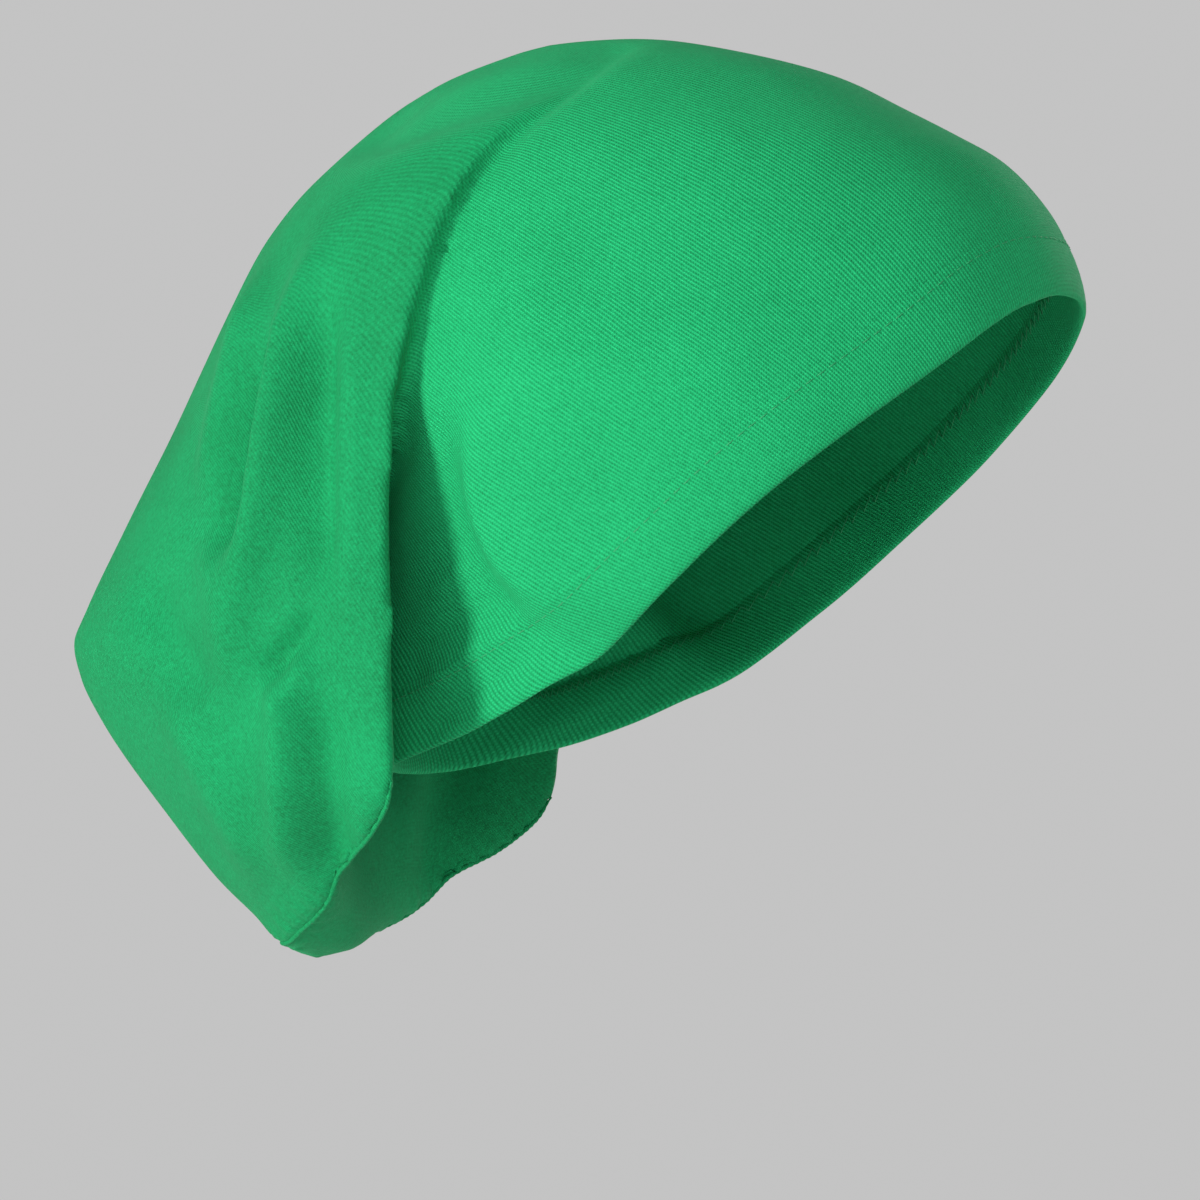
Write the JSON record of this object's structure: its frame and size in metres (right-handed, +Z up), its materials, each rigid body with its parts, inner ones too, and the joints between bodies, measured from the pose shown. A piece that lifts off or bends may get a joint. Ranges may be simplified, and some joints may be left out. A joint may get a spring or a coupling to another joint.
{
  "type": "hijab underscarf cap",
  "caption": "Knit tube underscarf cap with a folded hem round the face and a sewn bag end hanging behind the head.",
  "frame": {"origin": "top of the head hollow, under the crown, where the cap sits on the head", "axes": "+X towards the face, +Y to the wearer's left, +Z up"},
  "size_m": [0.2625, 0.1638, 0.23],
  "materials": {
    "green_jersey": "fine stretch jersey with a soft sheen",
    "sewing_thread": "matte polyester thread in the cloth's colour"
  },
  "bodies": {
    "root": {"cap_body": "green_jersey", "hem_band": "green_jersey", "end_seam": "sewing_thread"}
  },
  "joints": []
}
